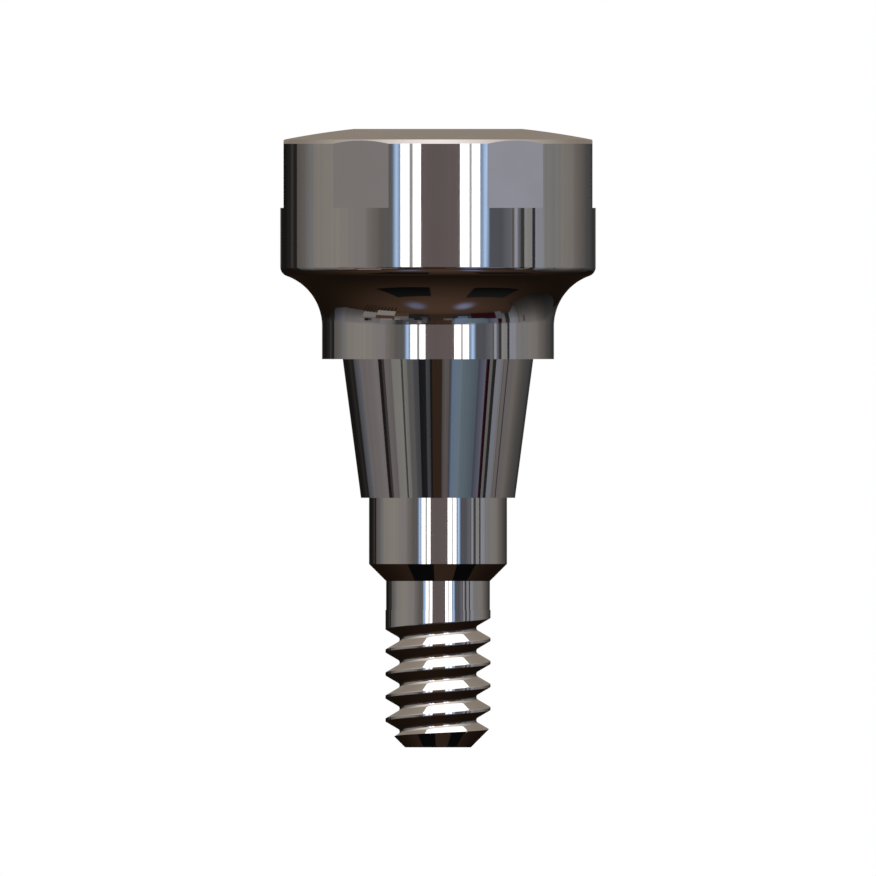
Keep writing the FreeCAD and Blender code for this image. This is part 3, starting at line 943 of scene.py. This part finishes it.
# %% The cards become one stage object
def card_material():
    """Gives out the light stored at each point, and is never sampled as a lamp."""
    material = bpy.data.materials.new("studio_cards")
    material.use_nodes = True
    tree = material.node_tree
    tree.nodes.clear()
    stored = add_node(tree, "ShaderNodeAttribute", {"attribute_name": "light"})
    glow = add_node(tree, "ShaderNodeEmission", {}, {"Strength": 1.0})
    output = add_node(tree, "ShaderNodeOutputMaterial")
    join(
        tree,
        (stored.outputs["Color"], glow.inputs["Color"]),
        (glow.outputs["Emission"], output.inputs["Surface"]),
    )
    material.cycles.emission_sampling = "NONE"
    return material


def only_in_reflections(thing):
    """Keeps a stage object out of sight, out of shadows and out of soft light."""
    thing.visible_camera = False
    thing.visible_diffuse = False
    thing.visible_transmission = False
    thing.visible_volume_scatter = False
    thing.visible_shadow = False


card_mesh = bpy.data.meshes.new("studio_cards")
card_mesh.from_pydata(np.concatenate(card_points), [], np.concatenate(card_faces).tolist())
lights = np.concatenate(card_lights)
stored_light = card_mesh.color_attributes.new("light", "FLOAT_COLOR", "POINT")
stored_light.data.foreach_set("color", np.c_[lights, np.ones(len(lights))].ravel())
card_mesh.materials.append(card_material())
studio_cards = add_object("studio_cards", card_mesh)
only_in_reflections(studio_cards)
print("studio cards:", len(card_mesh.polygons), "faces")

# %% [markdown]
# ## Floor, world and light
# The floor is a plain pale disc at the tip's height, wide enough for every view. It stays out of
# reflections, where the floor card stands for it, and it is clear from below, so that a low view
# still shows the part. The world is white to the camera and in reflections, and a little weaker as
# soft light, so that one large lamp can add a gentle shadow and the sum stays at a plain level.

# %% Pale floor
FLOOR_RADIUS = 0.4
FLOOR_COLOUR = (0.86, 0.86, 0.86, 1.0)
FLOOR_ROUGHNESS = 0.9
FLOOR_CORNERS = 64
corner = np.arange(FLOOR_CORNERS) * 2 * math.pi / FLOOR_CORNERS
flat_rim = FLOOR_RADIUS * np.stack([np.cos(corner), np.sin(corner)], -1)
rim = np.column_stack([flat_rim, np.full(FLOOR_CORNERS, TIP)])
floor_mesh = bpy.data.meshes.new("floor")
floor_mesh.from_pydata(rim, [], [list(range(FLOOR_CORNERS))])
floor_paint = bpy.data.materials.new("pale_floor")
floor_paint.use_nodes = True
paint_tree = floor_paint.node_tree
matt = paint_tree.nodes["Principled BSDF"]
matt.inputs["Base Color"].default_value = FLOOR_COLOUR
matt.inputs["Roughness"].default_value = FLOOR_ROUGHNESS
side = add_node(paint_tree, "ShaderNodeNewGeometry")
clear = add_node(paint_tree, "ShaderNodeBsdfTransparent")
one_sided = add_node(paint_tree, "ShaderNodeMixShader")
join(
    paint_tree,
    (side.outputs["Backfacing"], one_sided.inputs["Fac"]),
    (matt.outputs["BSDF"], one_sided.inputs[1]),
    (clear.outputs["BSDF"], one_sided.inputs[2]),
    (one_sided.outputs["Shader"], paint_tree.nodes["Material Output"].inputs["Surface"]),
)
floor_mesh.materials.append(floor_paint)
floor = add_object("floor", floor_mesh)
floor.visible_glossy = False
print("floor radius in metres:", FLOOR_RADIUS)

# %% World and key light
SOFT_LEVEL = 0.75
KEY_POWER = 0.35
KEY_SIZE = 0.25
KEY_PLACE = (-0.18, -0.14, 0.36)
world = bpy.data.worlds.new("white_studio")
world.use_nodes = True
bpy.context.scene.world = world
tree = world.node_tree
path = add_node(tree, "ShaderNodeLightPath")
seen = add_node(tree, "ShaderNodeMath", {"operation": "MAXIMUM"})
seen_or_through = add_node(tree, "ShaderNodeMath", {"operation": "MAXIMUM"})
level = add_node(tree, "ShaderNodeMapRange", {}, {"To Min": SOFT_LEVEL, "To Max": 1.0})
sky = tree.nodes["Background"]
sky.inputs["Color"].default_value = (1.0, 1.0, 1.0, 1.0)
join(
    tree,
    (path.outputs["Is Camera Ray"], seen.inputs[0]),
    (path.outputs["Is Glossy Ray"], seen.inputs[1]),
    (seen.outputs["Value"], seen_or_through.inputs[0]),
    (path.outputs["Is Transmission Ray"], seen_or_through.inputs[1]),
    (seen_or_through.outputs["Value"], level.inputs["Value"]),
    (level.outputs["Result"], sky.inputs["Strength"]),
)

key_lamp = bpy.data.lights.new("key_lamp", "AREA")
key_lamp.shape = "DISK"
key_lamp.size = KEY_SIZE
key_lamp.energy = KEY_POWER
key = add_object("key_lamp", key_lamp)
key.location = KEY_PLACE
key.rotation_euler = key.location.to_track_quat("Z", "Y").to_euler()
key.visible_glossy = False
bpy.context.scene.view_settings.view_transform = "Standard"
print("soft light:", SOFT_LEVEL, "key lamp in watts:", KEY_POWER)

# %% [markdown]
# ## The camera
# The photograph was taken level and from far away, so that both ends look equally large: a view
# without perspective. The frame is square, and one millimetre of the part covers 65.75 pixels.

# %% Level camera without perspective
PICTURE_PIXELS = 876
PIXELS_PER_MM = 65.75
SHOULDER_PIXEL = 359.15
CAMERA_DISTANCE = 0.15
CAMERA_HEIGHT = (SHOULDER_PIXEL - PICTURE_PIXELS / 2) / PIXELS_PER_MM * MM
NEAREST, FARTHEST = 0.001, 10.0
camera_data = bpy.data.cameras.new("camera")
camera_data.type = "ORTHO"
camera_data.ortho_scale = PICTURE_PIXELS / PIXELS_PER_MM * MM
camera_data.clip_start = NEAREST
camera_data.clip_end = FARTHEST
camera = add_object("camera", camera_data)
camera.location = (0, -CAMERA_DISTANCE, CAMERA_HEIGHT)
camera.rotation_euler = (math.radians(90), 0, 0)
bpy.context.scene.camera = camera
print("frame width in mm:", round(camera_data.ortho_scale / MM, 3))
